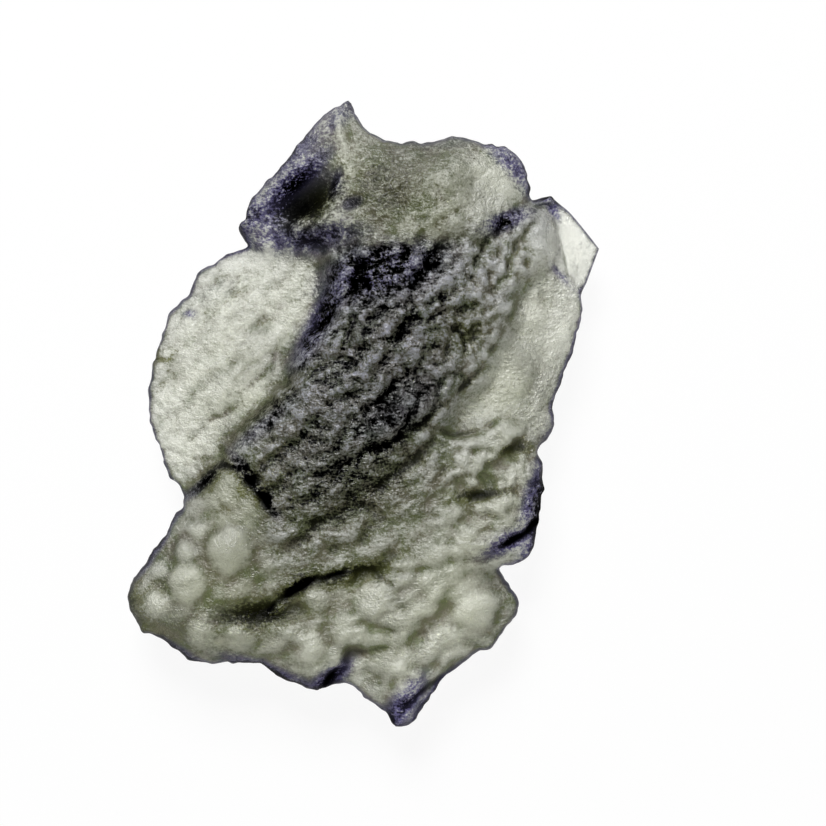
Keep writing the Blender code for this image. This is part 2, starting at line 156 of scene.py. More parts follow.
# Swells: middle, reach along and across, the turn of the long way from +X in degrees, and rise
BODY = ((0.2, 2.6), (8.2, 3.9), 55.0, 2.35)
SWELLS = {
    "lower left slope": ((-6.2, -4.3), (1.2, 1.0), 0.0, 0.3),
    "lower left valley": ((-5.0, -9.4), (2.0, 0.6), 5.0, -0.5),
    "tip swell": ((1.7, -12.7), (1.4, 0.9), -50.0, 0.3),
    "crown right scoop": ((5.9, 10.3), (1.5, 1.1), 20.0, -0.7),
    "crown middle dome": ((3.1, 11.1), (1.3, 0.9), 0.0, 0.3),
    "crown left swell": ((0.5, 12.2), (1.8, 0.9), 30.0, 0.4),
    "crown arete": ((-1.1, 13.4), (1.6, 0.22), 103.0, 0.35),
    "crown hollow": ((-2.9, 10.2), (1.9, 0.9), 38.0, -1.9),
    "crown eye": ((-0.5, 9.9), (0.6, 0.5), 10.0, -0.5),
    "wing rim bowl": ((-9.6, 1.7), (0.9, 0.6), 10.0, -0.3),
}

# Round bulges of the lower lobes: middle, radius and rise
DOMES = {
    "lower left": ((-6.3, -6.35), 1.25, 0.7),
    "lower left, second": ((-8.35, -7.95), 1.0, 0.6),
    "lower left, toe": ((-10.2, -8.95), 1.0, 0.4),
    "lower left, shoulder": ((-7.95, -5.4), 0.55, 0.4),
    "lower left, step": ((-8.5, -6.5), 0.65, 0.4),
    "lower left, rim": ((-9.7, -7.4), 0.55, 0.3),
    "lower left, fold": ((-5.9, -10.5), 0.9, 0.35),
    "lower left, foot": ((-7.8, -10.4), 0.8, 0.3),
    "middle": ((0.5, -8.8), 1.2, 0.4),
    "middle, left": ((-2.3, -8.8), 0.75, 0.4),
    "middle, fold": ((-2.5, -10.9), 0.8, 0.35),
    "middle, foot": ((-0.6, -10.2), 0.9, 0.3),
    "right": ((5.3, -8.9), 1.3, 0.4),
    "right, second": ((3.9, -10.9), 1.0, 0.3),
    "tip": ((1.9, -12.0), 1.0, 0.3),
}

# Creases: the way each runs, its depth and its half width
CREASES = {
    "wing long crease": (
        [(300, 323), (285, 335), (277, 348), (275, 360), (266, 373), (256, 385), (241, 398),
         (225, 414), (206, 427), (191, 440)],
        0.4, 0.2,
    ),
    "wing rim crease": ([(150, 358), (164, 360), (179, 358)], 0.4, 0.25),
    "wing upper crease": ([(198, 364), (206, 356), (218, 352)], 0.3, 0.2),
    "wing lower crease": ([(162, 417), (177, 410), (187, 408), (200, 404)], 0.25, 0.16),
    "wing spur": ([(289, 379), (275, 383), (262, 387)], 0.3, 0.16),
    "wing faint crease": ([(283, 296), (260, 323), (241, 348), (227, 362)], 0.2, 0.16),
    "wing foot crease": ([(179, 454), (198, 458), (218, 456), (233, 446)], 0.25, 0.16),
    "lower left crescent": (
        [(187, 498), (204, 485), (227, 465), (241, 469), (260, 485), (271, 506), (273, 531)],
        0.45, 0.55,
    ),
    "middle arch": (
        [(273, 606), (289, 592), (310, 579), (329, 571), (352, 565), (375, 569), (394, 584)],
        0.5, 0.35,
    ),
    "middle fold": ([(319, 690), (337, 667), (352, 652), (387, 644), (421, 640)], 0.35, 0.35),
    "tip fold": ([(396, 721), (404, 707), (415, 692), (435, 680), (452, 667)], 0.7, 0.35),
    "right fold": ([(488, 556), (502, 542), (521, 533), (538, 521)], 0.8, 0.35),
    "flank line": (
        [(523, 291), (511, 312), (500, 335), (490, 352), (473, 377), (454, 396), (431, 414),
         (412, 429), (379, 446), (350, 460)],
        0.3, 0.3,
    ),
    "cross crease": ([(429, 427), (454, 431), (477, 429), (496, 425)], 0.35, 0.3),
    "chip crack": ([(548, 206), (556, 222), (561, 250), (567, 275), (579, 289)], 0.2, 0.2),
    "right scale": ([(467, 508), (473, 496), (490, 492), (513, 490)], 0.4, 0.5),
    "right lower scale": ([(477, 527), (490, 525), (502, 527)], 0.3, 0.35),
    "right upper scale": ([(496, 452), (508, 448), (519, 446), (531, 450)], 0.3, 0.35),
    "crown crack": ([(419, 227), (435, 225), (458, 218)], 0.4, 0.2),
}

# Where the glass looks smoky, and where shade is painted: in hollows, gullies, folds, under ledges and
# along the rims. Each: middle, reach along and across, turn in degrees, and strength
SMOKE_AND_SHADE = {
    "gully under the crown": ((0.7, 6.7), (3.0, 1.2), 15.0, 0.7),
    "ridge's upper edge": ((-1.8, 4.9), (3.2, 0.6), 62.0, 0.85),
    "ridge's left edge": ((-4.9, -0.4), (2.2, 0.5), 42.0, 0.6),
    "ridge's lower end": ((1.2, -0.3), (2.9, 1.1), 35.0, 0.3),
    "crown hollow's wall": ((-3.3, 10.9), (2.2, 0.7), 42.0, 1.2),
    "crown's left corner": ((-5.2, 9.4), (1.2, 0.7), 50.0, 0.9),
    "crown hollow's floor": ((-3.0, 9.8), (2.5, 1.5), 22.0, 1.1),
    "crown's left facet": ((-3.2, 12.2), (2.4, 0.9), 47.0, 0.6),
    "crown's lower left": ((-2.8, 8.5), (3.0, 0.9), 3.0, 0.85),
    "crown's middle": ((0.9, 10.7), (2.4, 1.9), 10.0, 0.5),
    "crown's eye": ((-0.5, 9.9), (0.8, 0.45), 20.0, 0.8),
    "crown's right edge": ((6.9, 11.8), (2.1, 0.6), -48.0, 0.7),
    "crown's tip": ((-1.3, 13.9), (1.3, 0.6), 55.0, 0.5),
    "crown's upper edge": ((3.0, 12.6), (2.8, 0.5), 3.0, 0.35),
    "right rim": ((8.1, -4.6), (2.4, 0.65), 80.0, 1.05),
    "right fold": ((6.9, -6.0), (1.5, 0.55), 25.0, 0.95),
    "tip fold": ((2.0, -13.6), (1.4, 0.6), 55.0, 1.0),
    "foot fold": ((-1.6, -12.5), (1.3, 0.5), 38.0, 1.0),
    "crescent's right arm": ((-5.2, -3.2), (1.8, 0.45), -52.0, 1.0),
    "crescent's left arm": ((-7.4, -3.1), (1.3, 0.35), 42.0, 1.1),
    "middle arch": ((-0.8, -7.5), (2.0, 0.45), 18.0, 0.8),
    "middle arch's left end": ((-3.1, -8.1), (1.2, 0.5), 30.0, 1.0),
    "lower left valley": ((-5.2, -9.4), (2.2, 0.8), 8.0, 0.95),
    "tip's end": ((1.6, -14.3), (0.9, 0.6), 60.0, 0.9),
    "upper right edge": ((6.7, 9.1), (1.4, 0.45), 20.0, 0.8),
    "south slope": ((-0.4, -3.6), (4.2, 2.6), 30.0, 0.34),
    "crown hollow's right wall": ((-1.4, 10.5), (1.1, 0.4), 70.0, 1.1),
    "chip's foot": ((9.4, 6.6), (1.3, 0.25), -45.0, 0.5),
    "chip's shoulder": ((9.0, 9.9), (0.8, 0.3), -60.0, 0.9),
    "wing's upper end": ((-7.1, 5.8), (1.6, 0.7), 30.0, 0.22),
    "wing's pit": ((-8.3, 4.8), (0.4, 0.25), 0.0, 0.6),
    "right scale": ((5.2, -3.8), (1.3, 0.3), 5.0, 0.7),
    "right upper scale": ((7.2, -1.6), (1.1, 0.3), 5.0, 0.6),
    "toe's rim": ((-10.8, -9.2), (1.5, 0.6), -60.0, 0.5),
    "foot's rim": ((-4.4, -12.3), (2.6, 0.4), -20.0, 0.8),
    "toe's lower rim": ((-9.0, -11.2), (1.8, 0.35), -32.0, 0.7),
    "lower left rim": ((-9.9, -6.3), (2.4, 0.3), 60.0, 0.6),
    "tip's right rim": ((3.2, -13.6), (1.8, 0.4), 48.0, 0.6),
    "flank's rim": ((9.7, 1.9), (3.4, 0.3), 68.0, 0.5),
}

# Where the glass is cleanest, with painted highlights on dome tops and painted glints, in the same form
CLEAR_AND_HIGHLIGHTS = {
    "crown's right scoop": ((5.9, 10.4), (1.6, 1.2), 20.0, 1.2),
    "crown's middle dome": ((3.3, 11.0), (1.1, 0.9), 0.0, 0.3),
    "lower right": ((4.8, -9.3), (2.4, 1.8), 30.0, 0.35),
    "under the crown's right": ((5.2, 7.0), (2.6, 1.3), 35.0, 0.35),
    "crown's eye's upper glint": ((-1.2, 10.7), (0.35, 0.1), 55.0, 1.6),
    "crown's eye's lower glint": ((-0.2, 9.6), (0.45, 0.1), 15.0, 1.4),
    "crown's lower facet": ((4.6, 8.9), (2.2, 0.5), 32.0, 0.4),
    "under the crown's left": ((-5.0, 7.5), (1.6, 0.45), 10.0, 0.7),
    "upper right corner": ((8.3, 8.4), (0.7, 1.4), -10.0, 1.0),
    "lower left dome": ((-6.3, -6.3), (0.8, 0.8), 0.0, 0.5),
    "lower left second dome": ((-8.4, -7.9), (0.7, 0.7), 0.0, 0.3),
    "right fold": ((7.3, -6.4), (0.9, 0.4), 20.0, 0.6),
    "tip": ((2.6, -12.2), (2.0, 0.9), 45.0, 0.4),
}

# Hollows of the underside: middle, reach, turn and depth
UNDER_HOLLOWS = {
    "under the crown's scoop": ((6.0, 11.2), (1.7, 1.0), 20.0, 0.7),
    "under the crown's hollow": ((-3.0, 10.4), (1.6, 0.9), 38.0, 0.5),
}

# Where light comes through the deep clear glass as olive green
OLIVE = {
    "crown hollow": ((-2.4, 9.8), (1.4, 0.9), 30.0, 1.0),
    "crown's middle": ((1.6, 10.9), (2.8, 1.8), 10.0, 0.5),
    "wing's rim": ((-9.5, 2.6), (0.8, 0.4), -5.0, 0.8),
    "ridge's right side": ((4.8, 3.9), (1.0, 0.7), 20.0, 0.8),
    "middle arch": ((-0.4, -7.5), (2.8, 0.6), 14.0, 1.0),
    "crescent": ((-6.0, -3.4), (1.8, 1.0), -10.0, 1.2),
    "lower left valley": ((-4.8, -9.4), (2.0, 0.8), 8.0, 1.0),
    "middle arch's left end": ((-3.2, -8.2), (1.3, 0.6), 30.0, 1.0),
    "upper right corner": ((8.1, 7.5), (0.8, 0.5), 60.0, 0.6),
    "right scale": ((5.2, -3.9), (1.3, 0.4), 5.0, 1.0),
    "toe's rim": ((-10.6, -9.2), (1.7, 0.8), -60.0, 0.7),
    "south slope": ((-0.4, -3.8), (4.4, 2.6), 30.0, 0.3),
    "right upper scale": ((7.2, -1.7), (1.1, 0.4), 5.0, 0.9),
    "wing's boundary": ((-4.6, 0.3), (2.2, 0.5), 42.0, 0.5),
}

# Lumps of the underside that reach the surface below and are worn flat where they touch it
FEET = [(2.6, 9.4), (6.4, 1.6), (4.4, -9.0), (-6.8, -8.6), (-4.9, 0.6), (0.2, -1.0)]
FOOT_REACH = 1.9
FOOT_DROP = 1.5

# The broad scales, along and across the flow
SCALE_LENGTH = 2.3
SCALE_WIDTH = 1.4
SCALE_HEIGHT = 0.6

# Layers of finer scales: length, width, height and seed
CRINKLE = [(1.4, 1.1, 0.45, 41), (0.8, 0.65, 0.35, 42), (0.42, 0.34, 0.22, 40)]
RIPPLE = [(2.0, 1.4, 0.6, 44), (1.0, 0.75, 0.4, 45), (0.5, 0.4, 0.2, 39)]
GROOVES = [(2.4, 1.3, 0.35, 46), (1.1, 0.7, 0.3, 47), (0.5, 0.35, 0.12, 38)]
PILLOWS = [(1.6, 1.25, 0.45, 49), (0.85, 0.7, 0.3, 37), (0.42, 0.34, 0.12, 36)]

# How much of the broad scales each lobe takes away
CALM = {
    "crown": 0.75, "wing": 0.6, "flank": 0.75, "chip": 0.9, "lower left": 0.8, "lower right": 0.6,
    "lower middle": 0.6,
}

# The underside's flutes, along and across the flow
FLUTE_LENGTH = 3.2
FLUTE_WIDTH = 1.6
UNDER_FLUTE_DEPTH = 0.5

FLOW_LEAN = (39.0, 11.0)  # the flow lines' mean angle from +X in degrees, and its change either way
WAVER = 0.45  # how strongly the flow lines waver
WAVER_SIZE = 2.2  # the cell size of the noise that they waver by
LATTICE = 64  # cells after which the random patterns repeat: only the finest do so within the stone
DIP_PASSES = 60  # a dip lies below the surroundings that this many rounds of softening reach
NOOK_PASSES = 8  # a nook lies below nearer ones


def placed(points):
    """Places in the photograph, in its pixels, as places on the stone in drawn units."""
    pixel = DRAWN_LENGTH / PHOTO_LENGTH
    return [((x - PHOTO_MIDDLE[0]) * pixel, (PHOTO_MIDDLE[1] - y) * pixel) for x, y in points]


def smooth_path(points, steps=4):
    """The curve through the points: on each span, the cubic with Catmull-Rom tangents."""
    p = np.vstack([2 * points[0] - points[1], points, 2 * points[-1] - points[-2]])
    before, start, end, after = (p[i:len(p) - 3 + i, None] for i in range(4))
    t = (np.arange(steps) / steps)[None, :, None]
    curve = start + t * (end - before) / 2
    curve = curve + t**2 * (2 * before - 5 * start + 4 * end - after) / 2
    curve = curve + t**3 * (3 * start - before - 3 * end + after) / 2
    return np.vstack([curve.reshape(-1, 2), points[-1:]])


def rim_sides():
    """The four sides of the outline, smooth, centred on their box and scaled to the drawn length."""
    rims = (LEFT_RIM, FOOT_RIM, RIGHT_RIM, CROWN_RIM)
    sides = [smooth_path(np.array(placed(points))) for points in rims]
    rim = np.vstack(sides)
    low, high = rim.min(0), rim.max(0)
    return [(side - (low + high) / 2) * DRAWN_LENGTH / (high - low)[1] for side in sides]


def at_share(path, share):
    """The place a given share of the way along a path."""
    gone = np.concatenate([[0.0], np.cumsum(np.hypot(*np.diff(path, axis=0).T))])
    return np.stack([np.interp(share * gone[-1], gone, path[:, axis]) for axis in (0, 1)], axis=-1)


def between(start, end, share):
    """The value a given share of the way from one value to another."""
    return start + (end - start) * share


def plan(u, v, sides):
    """The stone seen from above, as a patch that four sides span: u from its left to its right and v from
    its crown to its foot, each from 0 to 1. It is the flat patch between the corners plus each side's
    bends, which fade inwards."""
    left, foot, right, crown = sides
    uu, vv = u[..., None], v[..., None]
    flat_left, flat_right = between(left[0], left[-1], vv), between(right[-1], right[0], vv)
    flat_crown, flat_foot = between(left[0], right[-1], uu), between(left[-1], right[0], uu)
    place = between(flat_left, flat_right, uu)
    place = place + (at_share(left, v) - flat_left) * (1 - uu) ** SIDE_FADE
    place = place + (at_share(right, 1 - v) - flat_right) * uu**SIDE_FADE
    place = place + (at_share(crown, 1 - u) - flat_crown) * (1 - vv) ** SIDE_FADE
    return place + (at_share(foot, u) - flat_foot) * vv**SIDE_FADE


def closed_up(share):
    """Evenly spaced shares moved so that they lie closer together near 0 and 1."""
    s = 2 * share - 1
    return 0.5 + 0.5 * ((1 + CROWDING) * s - CROWDING * s**11)


def path_distance(x, y, path):
    """The distance of each point to a path, and how far along it the nearest place is, from 0 to 1."""
    path = np.array(path)
    ways = np.diff(path, axis=0)
    steps = np.maximum(np.hypot(*ways.T), 1e-9)
    gone = np.concatenate([[0.0], np.cumsum(steps)])
    nearest, along = np.full(x.shape, np.inf), np.zeros(x.shape)
    for start, way, step, before in zip(path[:-1], ways, steps, gone):
        t = np.clip(((x - start[0]) * way[0] + (y - start[1]) * way[1]) / step**2, 0, 1)
        distance = np.hypot(x - start[0] - t * way[0], y - start[1] - t * way[1])
        along = np.where(distance < nearest, (before + t * step) / gone[-1], along)
        nearest = np.minimum(nearest, distance)
    return nearest, along


def depth_inside(x, y, corners):
    """The distance to a closed path, positive inside it and negative outside."""
    crossings = np.zeros(x.shape, int)
    for (x0, y0), (x1, y1) in zip(corners, corners[1:] + corners[:1]):
        if y0 != y1:
            crossings += ((y0 > y) != (y1 > y)) & (x < x0 + (y - y0) * (x1 - x0) / (y1 - y0))
    distance, _ = path_distance(x, y, corners + corners[:1])
    return np.where(crossings % 2 == 1, distance, -distance)


def plateau(x, y, corners, ledge):
    """1 on a lobe and 0 off it, with a smooth step of the ledge's width between."""
    return 0.5 + 0.5 * np.tanh(depth_inside(x, y, corners) / ledge)


def swell(x, y, middle, reach, turn):
    """A smooth hump, 1 in the middle and fading over its reach along and across its own direction."""
    turn = np.radians(turn)
    dx, dy = x - middle[0], y - middle[1]
    along = dx * np.cos(turn) + dy * np.sin(turn)
    across = dy * np.cos(turn) - dx * np.sin(turn)
    return np.exp(-((along / reach[0]) ** 2 + (across / reach[1]) ** 2))


def domes(x, y):
    """The round bulges: a rounded hump over each circle, and the higher where two meet."""
    height = np.zeros(x.shape)
    for middle, radius, rise in DOMES.values():
        away = np.hypot(x - middle[0], y - middle[1]) / radius
        height = np.maximum(height, rise * np.clip(1 - away**2, 0, 1) ** 1.1)
    return height


def crease(x, y, path, half_width):
    """A V-shaped valley along a path, 1 on its line, that fades out towards both ends."""
    distance, along = path_distance(x, y, path)
    fading = np.sin(np.pi * np.clip(along, 0.06, 0.94)) ** 0.5
    return np.clip(1 - distance / half_width, 0, 1) ** 1.3 * fading


def noise(x, y, seed):
    """Smooth noise from -1 to 1: random heights at whole numbers, blended between them."""
    heights = np.random.default_rng(seed).uniform(-1, 1, (LATTICE, LATTICE))
    i, j = np.floor(x).astype(int), np.floor(y).astype(int)
    s, t = x - i, y - j
    s, t = s * s * (3 - 2 * s), t * t * (3 - 2 * t)
    corner = [[heights[(i + a) % LATTICE, (j + b) % LATTICE] for b in (0, 1)] for a in (0, 1)]
    low, high = (corner[a][0] * (1 - t) + corner[a][1] * t for a in (0, 1))
    return low * (1 - s) + high * s


def bowls(x, y, seed):
    """Rows of shallow bowls with sharp ridges between: the square of the distance to the nearest of a
    lattice's shifted points, 0 at a bowl's middle and highest where ridges meet."""
    shifts = np.random.default_rng(seed).uniform(0.1, 0.9, (LATTICE, LATTICE, 2))
    i, j = np.floor(x).astype(int), np.floor(y).astype(int)
    nearest = np.full(x.shape, np.inf)
    for a in (-1, 0, 1):
        for b in (-1, 0, 1):
            shift = shifts[(i + a) % LATTICE, (j + b) % LATTICE]
            away = (x - i - a - shift[..., 0]) ** 2 + (y - j - b - shift[..., 1]) ** 2
            nearest = np.minimum(nearest, away)
    return np.minimum(nearest, 1.0)


def flow(x, y):
    """Coordinates along and across the flow lines, which lean over from the crown to the foot, with a
    slow waver so that no two flutes run quite alike."""
    turn = np.radians(FLOW_LEAN[0] + FLOW_LEAN[1] * np.tanh((y + 2) / 8))
    along = x * np.cos(turn) + y * np.sin(turn)
    across = y * np.cos(turn) - x * np.sin(turn)
    p, q = x / WAVER_SIZE, y / WAVER_SIZE
    waver = WAVER * noise(p, q, 11)
    return along + waver, across + WAVER * noise(p, q, 12) + 0.15 * waver


def flutes(x, y, seed):
    """The underside's long bowls, which follow the flow, lowered by 0.3."""
    along, across = flow(x, y)
    return bowls(along / FLUTE_LENGTH, across / FLUTE_WIDTH, seed) - 0.3


def scales(x, y, length, width, seed):
    """Finer bowls along the flow, lowered by 0.35."""
    along, across = flow(x, y)
    return bowls(along / length, across / width, seed) - 0.35


def shingles(x, y, length, width, seed):
    """Overlapping scales along the flow: their height and how far each place is tucked under the next
    scale. Each cell of a lattice's shifted points is a small dome that dips towards its upper side, where
    the next cell stands over it as a steep step; the tucked part is an arch round that side."""
    along, across = flow(*ragged(x, y, 0.25 * width))
    p, q = along / length, across / width
    random = np.random.default_rng(seed)
    shifts = random.uniform(0.05, 0.95, (LATTICE, LATTICE, 2))
    tilts = random.uniform(0.1, 0.8, (LATTICE, LATTICE))
    i, j = np.floor(p).astype(int), np.floor(q).astype(int)
    nearest, height, tuck = np.full(x.shape, np.inf), np.zeros(x.shape), np.zeros(x.shape)
    for a in (-1, 0, 1):
        for b in (-1, 0, 1):
            cell = (i + a) % LATTICE, (j + b) % LATTICE
            shift, tilt = shifts[cell], tilts[cell]
            dp, dq = p - i - a - shift[..., 0], q - j - b - shift[..., 1]
            away = dp**2 + dq**2
            height = np.where(away < nearest, -tilt * dq - 0.6 * away + 0.12, height)
            tuck = np.where(away < nearest, np.clip(tilt * (3.2 * dq + 3.0 * dp**2) + 0.1, -0.4, 1), tuck)
            nearest = np.minimum(nearest, away)
    return height, tuck


def ragged(x, y, amount):
    """The place moved a little by noise of two sizes, which makes what is drawn there ragged."""
    dx = noise(x / 1.5, y / 1.5, 61) + 0.5 * noise(x / 0.45, y / 0.45, 62)
    dy = noise(x / 1.5, y / 1.5, 63) + 0.5 * noise(x / 0.45, y / 0.45, 64)
    return x + amount * dx, y + amount * dy


def softened(height, passes):
    """The heights averaged with their neighbours a number of times."""
    for _ in range(passes):
        padded = np.pad(height, 1, mode="edge")
        height = (padded[:-2, 1:-1] + padded[2:, 1:-1] + padded[1:-1, :-2] + padded[1:-1, 2:]) / 4
    return height


def lobe_shares(x, y):
    """How much of each place belongs to each lobe, from 0 to 1, with ragged edges."""
    x, y = ragged(x, y, 0.28)
    return {name: plateau(x, y, placed(corners), ledge) for name, (corners, _, _, ledge) in LOBES.items()}


def body_share(x, y, lobes):
    """How much of a place belongs to the thick, scaly ridge across the middle."""
    low_lands = np.maximum(lobes["wing"], np.maximum(lobes["flank"], lobes["chip"]))
    lower = np.maximum(lobes["lower left"], np.maximum(lobes["lower middle"], lobes["lower right"]))
    return (1 - low_lands) * (1 - lobes["crown"]) * (1 - lower)


def upper_share(x, y):
    """1 above a slanting line and 0 below it, softly blended. The line parts the thick ridge from the
    slope that leads down to the lower lobes."""
    return 0.5 + 0.5 * np.tanh((y + 3.0 + 0.35 * x) / 2.5)


def layered(x, y, layers):
    """Several layers of shingles, each given as length, width, height and seed: their total height, and
    their tucked parts averaged by height."""
    height, tuck = np.zeros(x.shape), np.zeros(x.shape)
    total = sum(rise for _, _, rise, _ in layers)
    for length, width, rise, seed in layers:
        layer_height, layer_tuck = shingles(x, y, length, width, seed)
        height = height + rise * layer_height
        tuck = tuck + layer_tuck * rise / total
    return height, tuck


def fine_relief(x, y, lobes):
    """The pits and scales that are too fine for the solid, and how tucked each place is: close shingles on
    the ridge, wider ones below it, long low ones on the wing and the flank, pillows on the lower lobes
    and tiny pits on the crown."""
    body = body_share(x, y, lobes) ** 0.7
    upper = body * upper_share(x, y)
    below = body - upper
    grit = noise(x / 0.2, y / 0.2, 43) + 0.7 * noise(x / 0.35, y / 0.35, 52)
    crinkle, crinkle_tuck = layered(x, y, CRINKLE)
    ripple, ripple_tuck = layered(x, y, RIPPLE)
    grooves, groove_tuck = layered(x, y, GROOVES)
    pillows, pillow_tuck = layered(x, y, PILLOWS)
    rubble = 0.12 * noise(x / 0.8, y / 0.5, 55) + 0.12 * noise(x / 0.4, y / 0.3, 56)
    pits = 0.13 * scales(x, y, 0.42, 0.36, 50) + 0.2 * noise(x / 1.3, y / 0.9, 54)
    flat = lobes["wing"] + lobes["flank"] * 0.7
    lower = 0.7 * lobes["lower left"] + lobes["lower middle"] + lobes["lower right"]
    relief = upper * (0.8 * crinkle + rubble + 0.1 * grit) + below * (ripple + 0.05 * grit)
    relief = relief + flat * (grooves + 0.05 * grit) + lower * (pillows + 0.03 * grit)
    relief = relief + lobes["crown"] * (pits + 0.06 * grit)
    tuck = upper * crinkle_tuck + 0.7 * (below * ripple_tuck + flat * groove_tuck) + lower * pillow_tuck
    return relief, tuck


def creases(x, y, widen=1.0):
    """The depth of the creases: each one's valley, broken up along its way by noise. Their widths
    are multiplied by a number."""
    depth_here = np.zeros(x.shape)
    broken = np.clip(0.7 + 0.9 * noise(x / 0.7, y / 0.7, 65), 0.05, 1.2)
    for path, depth, half_width in CREASES.values():
        depth_here = depth_here + depth * crease(x, y, placed(path), half_width * widen)
    return depth_here * broken


def top_height(x, y, lobes):
    """The sculpted side: plate, ridge, lobes, swells, domes, scales, fine relief and creases. Also how
    tucked each place is under the scale above it. Both are softened, least where the stone is crisp."""
    body = swell(x, y, *BODY[:3]) * BODY[3]
    low_lands = np.maximum(lobes["wing"], np.maximum(lobes["flank"], lobes["chip"]))
    height = PLATE_TOP + body * (1 - 0.8 * low_lands)
    for name, (_, rise, _, _) in LOBES.items():
        height = height + rise * lobes[name]
    for middle, reach, turn, rise in SWELLS.values():
        height = height + rise * swell(x, y, middle, reach, turn)
    height = height + domes(*ragged(x, y, 0.1))
    calm = 1 - sum(share * lobes[name] for name, share in CALM.items())
    relief, tuck = fine_relief(x, y, lobes)
    scale_height, scale_tuck = shingles(x, y, SCALE_LENGTH, SCALE_WIDTH, 21)
    height = height + SCALE_HEIGHT * calm * scale_height + relief
    tuck = tuck + 0.2 * np.clip(calm, 0, 1) * scale_tuck
    height = height - creases(*ragged(x, y, 0.12))
    crisp = body_share(x, y, lobes) * upper_share(x, y)
    crisp = np.clip(crisp + 0.7 * lobes["wing"] + 0.4 * lobes["crown"], 0, 1)
    return between(softened(height, 4), softened(height, 1), crisp), between(softened(tuck, 4), tuck, crisp)


def under_height(x, y, lobes):
    """The flatter side: a gently wavy plate, raised under the thin lobes, with its worn feet at zero."""
    height = PLATE_UNDER + 0.25 * noise(x / 4.5, y / 4.5, 31)
    for name, (_, _, lift, _) in LOBES.items():
        height = height + lift * lobes[name]
    height = height + UNDER_FLUTE_DEPTH * flutes(x, y, 32)
    height = height + 0.25 * body_share(x, y, lobes) * scales(x, y, 1.3, 0.8, 33)
    for middle, reach, turn, depth in UNDER_HOLLOWS.values():
        height = height + depth * swell(x, y, middle, reach, turn)
    for foot in FEET:
        height = height - FOOT_DROP * swell(x, y, foot, (FOOT_REACH, FOOT_REACH), 0.0)
    return np.maximum(height, 0.0)


def rim_profile(distance):
    """The share of the thickness at a distance from the rim: 0 at the rim, where the edge rounds over,
    then a blunt edge that thickens inwards up to the full stone."""
    rounded = np.sqrt(1 - (1 - np.clip(distance / RIM_ROUND, 0, 1)) ** 2.2)
    thick = RIM_THIN + (1 - RIM_THIN) * (1 - (1 - np.clip(distance / RIM_REACH, 0, 1)) ** 2)
    return rounded * thick


def steepness(sheet):
    """How far the surface leans from level, from 0 when level to 1 when upright: one less the upright
    part of the unit normal, from the differences between neighbouring points."""
    along, across = np.gradient(sheet, axis=(0, 1))
    normal = np.cross(along, across)
    return 1 - np.abs(normal[..., 2]) / np.maximum(np.linalg.norm(normal, axis=-1), 1e-12)


def patches(x, y, zones):
    """The strongest of several soft patches at each place."""
    share = np.zeros(x.shape)
    for middle, reach, turn, strength in zones.values():
        share = np.maximum(share, strength * swell(x, y, middle, reach, turn))
    return share


def stone_surface(u, v):
    """Both sides of the stone as functions of two parameters: arrays of x, y and z in drawn units, and
    for each side the marks that the finish reads."""
    sides = rim_sides()
    place = plan(closed_up(u), closed_up(v), sides)
    x, y = place[..., 0], place[..., 1]
    lobes = lobe_shares(x, y)
    under = under_height(x, y, lobes)
    top, tuck = top_height(x, y, lobes)
    top = np.maximum(top, under + THINNEST)
    edge = between(under, top, RIM_SHARE)
    distance, _ = path_distance(x, y, np.vstack(sides))
    on_rim = (u <= 0) | (u >= 1) | (v <= 0) | (v >= 1)
    distance = np.where(on_rim, 0.0, distance)
    share = rim_profile(distance)
    top_sheet = np.stack([x, y, between(edge, top, share)], axis=-1)
    under_sheet = np.stack([x, y, between(edge, under, share)], axis=-1)
    shared = {
        "ridge": body_share(x, y, lobes) * swell(x, y, *BODY[:3]) ** 0.6,
        "smoke_and_shade": patches(x, y, SMOKE_AND_SHADE),
        "clear_and_highlights": patches(x, y, CLEAR_AND_HIGHLIGHTS),
        "olive": patches(x, y, OLIVE),
        "rim": np.exp(-((distance / RIM_LINE) ** 1.5)),
        "tuck": tuck,
        # the creases, narrowed, which the finish paints darker as painted shade
        "shaded_crease": creases(*ragged(x, y, 0.12), 0.6),
        "crown": lobes["crown"],
        "lower": lobes["lower left"] + lobes["lower middle"] + lobes["lower right"],
        "dome": domes(*ragged(x, y, 0.1)),
        "wing": np.maximum(lobes["wing"], lobes["flank"]),
        "chip": lobes["chip"],
    }
    marks = []
    for sheet, up in ((top_sheet, 1.0), (under_sheet, -1.0)):
        height = up * sheet[..., 2]
        marks.append({
            **shared,
            "up": np.full(x.shape, up),
            "steep": steepness(sheet),
            "dip": softened(height, DIP_PASSES) - height,
            "nook": softened(height, NOOK_PASSES) - height,
        })
    rough = RIM_ROUGH * np.exp(-((distance / ROUGH_REACH) ** 2)) * (1 - lobes["chip"])
    for sheet in (top_sheet, under_sheet):
        sheet[..., 0] += rough * (noise(x / 0.6, y / 0.6, 71) + noise(x / 0.3, y / 0.3, 72))
        sheet[..., 1] += rough * (noise(x / 0.6, y / 0.6, 73) + noise(x / 0.3, y / 0.3, 74))
    return top_sheet, under_sheet, marks


